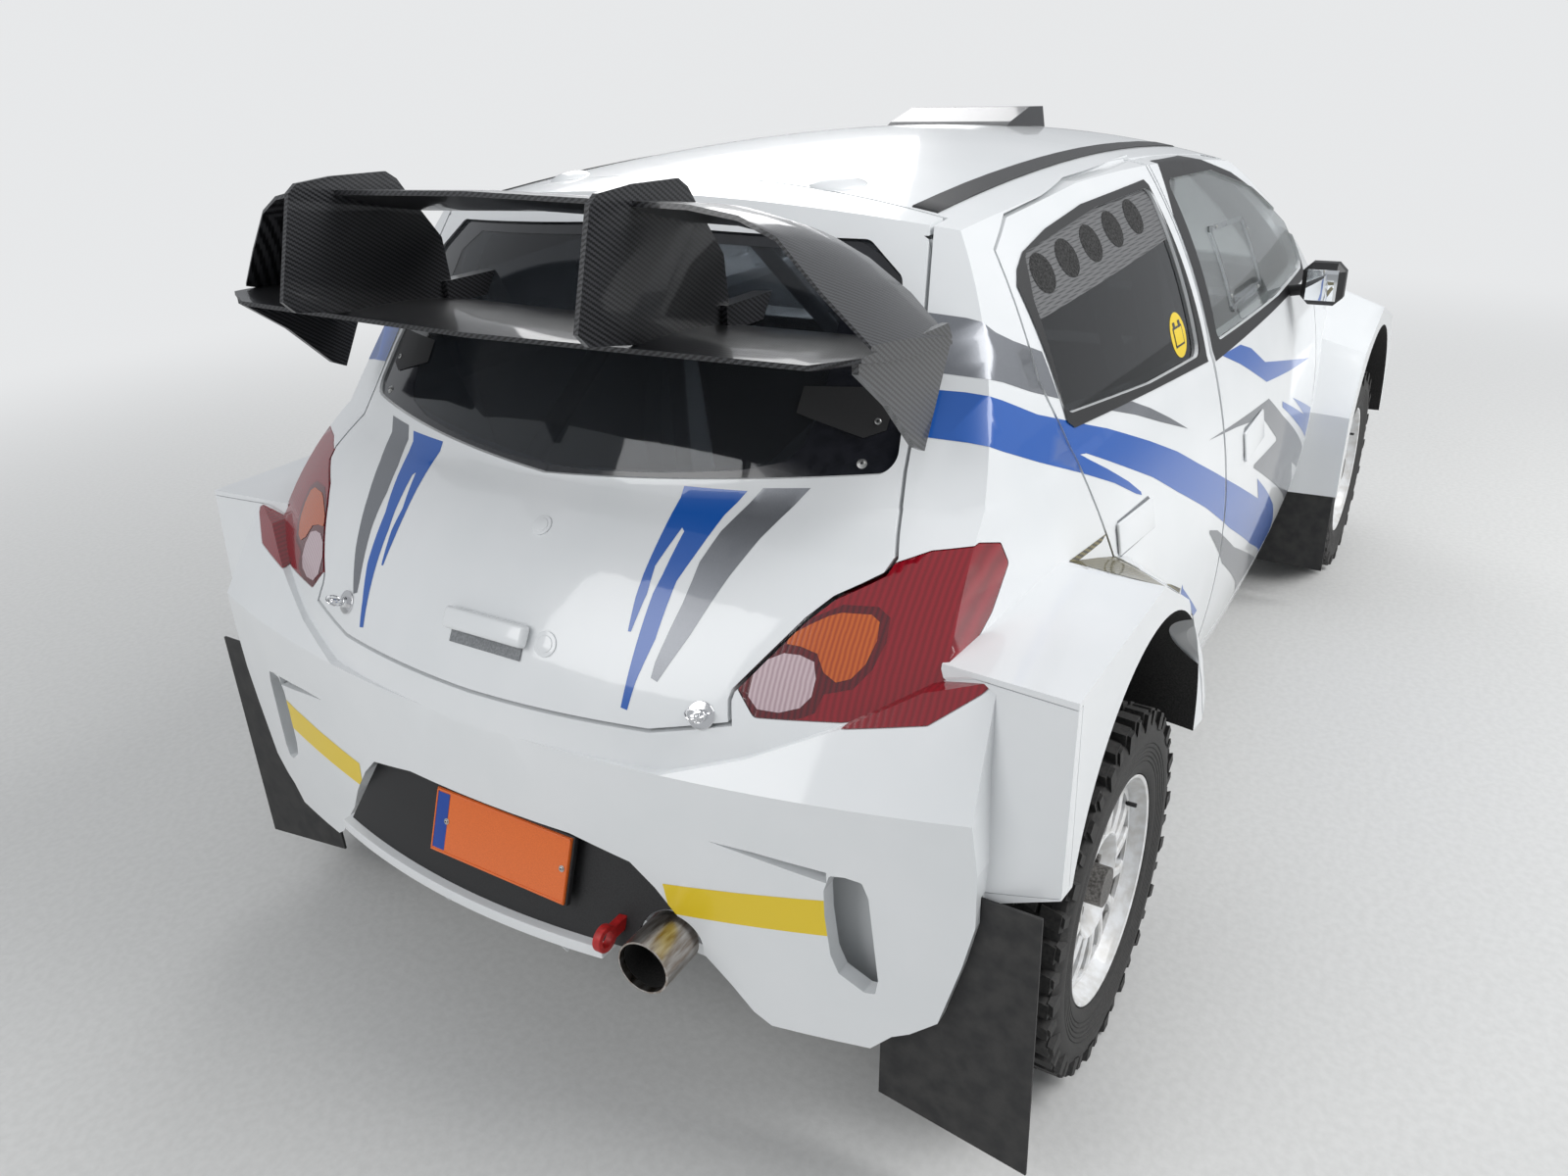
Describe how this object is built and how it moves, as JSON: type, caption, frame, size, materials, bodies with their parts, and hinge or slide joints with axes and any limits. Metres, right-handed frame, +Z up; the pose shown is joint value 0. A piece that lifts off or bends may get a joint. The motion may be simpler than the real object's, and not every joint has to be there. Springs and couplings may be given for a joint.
{
  "type": "rally car",
  "caption": "Gravel rally hatchback with opening doors, bonnet and tailgate, steered front wheels, wide arches and a high rear wing.",
  "frame": {"origin": "on the ground, on the centre line, midway between the foremost and rearmost points", "axes": "+X towards the nose, +Y to the left side, +Z up"},
  "size_m": [3.8148, 1.816, 1.518],
  "materials": {
    "white_paint": "gloss white paint with blue and grey stripes",
    "carbon": "clear-coated woven carbon fibre",
    "clear_glass": "clear glass and polycarbonate",
    "dark_glass": "tinted polycarbonate",
    "tyre_rubber": "block tread gravel tyre",
    "rim_paint": "white painted cast alloy",
    "black_plastic": "grained black plastic",
    "red_lens": "red lamp lens",
    "lamp_lens": "clear lamp lens",
    "steel": "bare and oxidised steel",
    "cast": "dark cast metal",
    "cage_paint": "light grey tube paint",
    "seat_fabric": "black seat fabric",
    "flap_rubber": "black flexible sheet",
    "alloy_sheet": "sheet aluminium",
    "plate_paint": "blank orange plate",
    "hook_paint": "red painted steel",
    "wheel_leather": "black suede wheel rim"
  },
  "bodies": {
    "car_body": {"body_shell": "white_paint", "dashboard": "black_plastic", "drive_shafts": "steel", "engine_block": "cast", "exhaust": "steel", "front_bumper": "white_paint", "front_fenders": "white_paint", "grille": "black_plastic", "headlamps": "lamp_lens", "mud_flaps": "flap_rubber", "number_plate": "plate_paint", "rear_bumper": "white_paint", "rear_differential": "cast", "rear_knuckles": "cast", "rear_lip": "white_paint", "rear_panel": "black_plastic", "roll_cage": "cage_paint", "roof_scoop": "carbon", "seats": "seat_fabric", "suspension": "cast", "tail_lamps": "red_lens", "tow_eyes": "hook_paint", "under_guard": "alloy_sheet", "windscreen": "clear_glass"},
    "tailgate_assembly": {"tailgate": "white_paint", "tailgate_glass": "dark_glass", "rear_wing": "carbon"},
    "bonnet_panel": {"bonnet": "white_paint"},
    "steering_wheel_assembly": {"steering_wheel": "wheel_leather"},
    "front_left_door_assembly": {"front_left_door": "white_paint", "front_left_door_glass": "clear_glass", "left_mirror": "black_plastic"},
    "rear_left_door_assembly": {"rear_left_door": "white_paint", "rear_left_door_glass": "dark_glass"},
    "front_left_hub": {"front_left_knuckle": "cast"},
    "front_left_wheel": {"front_left_tyre": "tyre_rubber", "front_left_rim": "rim_paint"},
    "rear_left_wheel": {"rear_left_tyre": "tyre_rubber", "rear_left_rim": "rim_paint"},
    "front_right_door_assembly": {"front_right_door": "white_paint", "front_right_door_glass": "clear_glass", "right_mirror": "black_plastic"},
    "rear_right_door_assembly": {"rear_right_door": "white_paint", "rear_right_door_glass": "dark_glass"},
    "front_right_hub": {"front_right_knuckle": "cast"},
    "front_right_wheel": {"front_right_tyre": "tyre_rubber", "front_right_rim": "rim_paint"},
    "rear_right_wheel": {"rear_right_tyre": "tyre_rubber", "rear_right_rim": "rim_paint"}
  },
  "joints": [
    {"name": "front_left_steering", "type": "hinge", "parent": "car_body", "child": "front_left_hub", "pos_m": [1.1825, 0.715, 0.325], "axis": [0, 0, 1], "range_deg": [-28, 28]},
    {"name": "front_left_wheel_spin", "type": "hinge", "parent": "front_left_hub", "child": "front_left_wheel", "pos_m": [1.1825, 0.787, 0.325], "axis": [0, 1, 0], "continuous": true},
    {"name": "rear_left_wheel_spin", "type": "hinge", "parent": "car_body", "child": "rear_left_wheel", "pos_m": [-1.2675, 0.787, 0.325], "axis": [0, 1, 0], "continuous": true},
    {"name": "front_left_door_hinge", "type": "hinge", "parent": "car_body", "child": "front_left_door_assembly", "pos_m": [0.6975, 0.835, 0.7], "axis": [0, 0, -1], "range_deg": [0, 65]},
    {"name": "rear_left_door_hinge", "type": "hinge", "parent": "car_body", "child": "rear_left_door_assembly", "pos_m": [-0.4425, 0.835, 0.7], "axis": [0, 0, -1], "range_deg": [0, 65]},
    {"name": "front_right_steering", "type": "hinge", "parent": "car_body", "child": "front_right_hub", "pos_m": [1.1825, -0.715, 0.325], "axis": [0, 0, 1], "range_deg": [-28, 28]},
    {"name": "front_right_wheel_spin", "type": "hinge", "parent": "front_right_hub", "child": "front_right_wheel", "pos_m": [1.1825, -0.787, 0.325], "axis": [0, 1, 0], "continuous": true},
    {"name": "rear_right_wheel_spin", "type": "hinge", "parent": "car_body", "child": "rear_right_wheel", "pos_m": [-1.2675, -0.787, 0.325], "axis": [0, 1, 0], "continuous": true},
    {"name": "front_right_door_hinge", "type": "hinge", "parent": "car_body", "child": "front_right_door_assembly", "pos_m": [0.6975, -0.835, 0.7], "axis": [0, 0, 1], "range_deg": [0, 65]},
    {"name": "rear_right_door_hinge", "type": "hinge", "parent": "car_body", "child": "rear_right_door_assembly", "pos_m": [-0.4425, -0.835, 0.7], "axis": [0, 0, 1], "range_deg": [0, 65]},
    {"name": "steering_wheel_turn", "type": "hinge", "parent": "car_body", "child": "steering_wheel_assembly", "pos_m": [0.2925, 0.34, 0.9], "axis": [-0.9439, 0, 0.3304], "range_deg": [-340, 340]},
    {"name": "tailgate_hinge", "type": "hinge", "parent": "car_body", "child": "tailgate_assembly", "pos_m": [-1.2015, 0, 1.478], "axis": [0, 1, 0], "range_deg": [0, 62]},
    {"name": "bonnet_hinge", "type": "hinge", "parent": "car_body", "child": "bonnet_panel", "pos_m": [0.8975, 0, 1.045], "axis": [0, -1, 0], "range_deg": [0, 55]}
  ],
  "couplings": [
    {"joint": "front_right_steering", "follows": "front_left_steering", "ratio": 1},
    {"joint": "steering_wheel_turn", "follows": "front_left_steering", "ratio": 12}
  ]
}
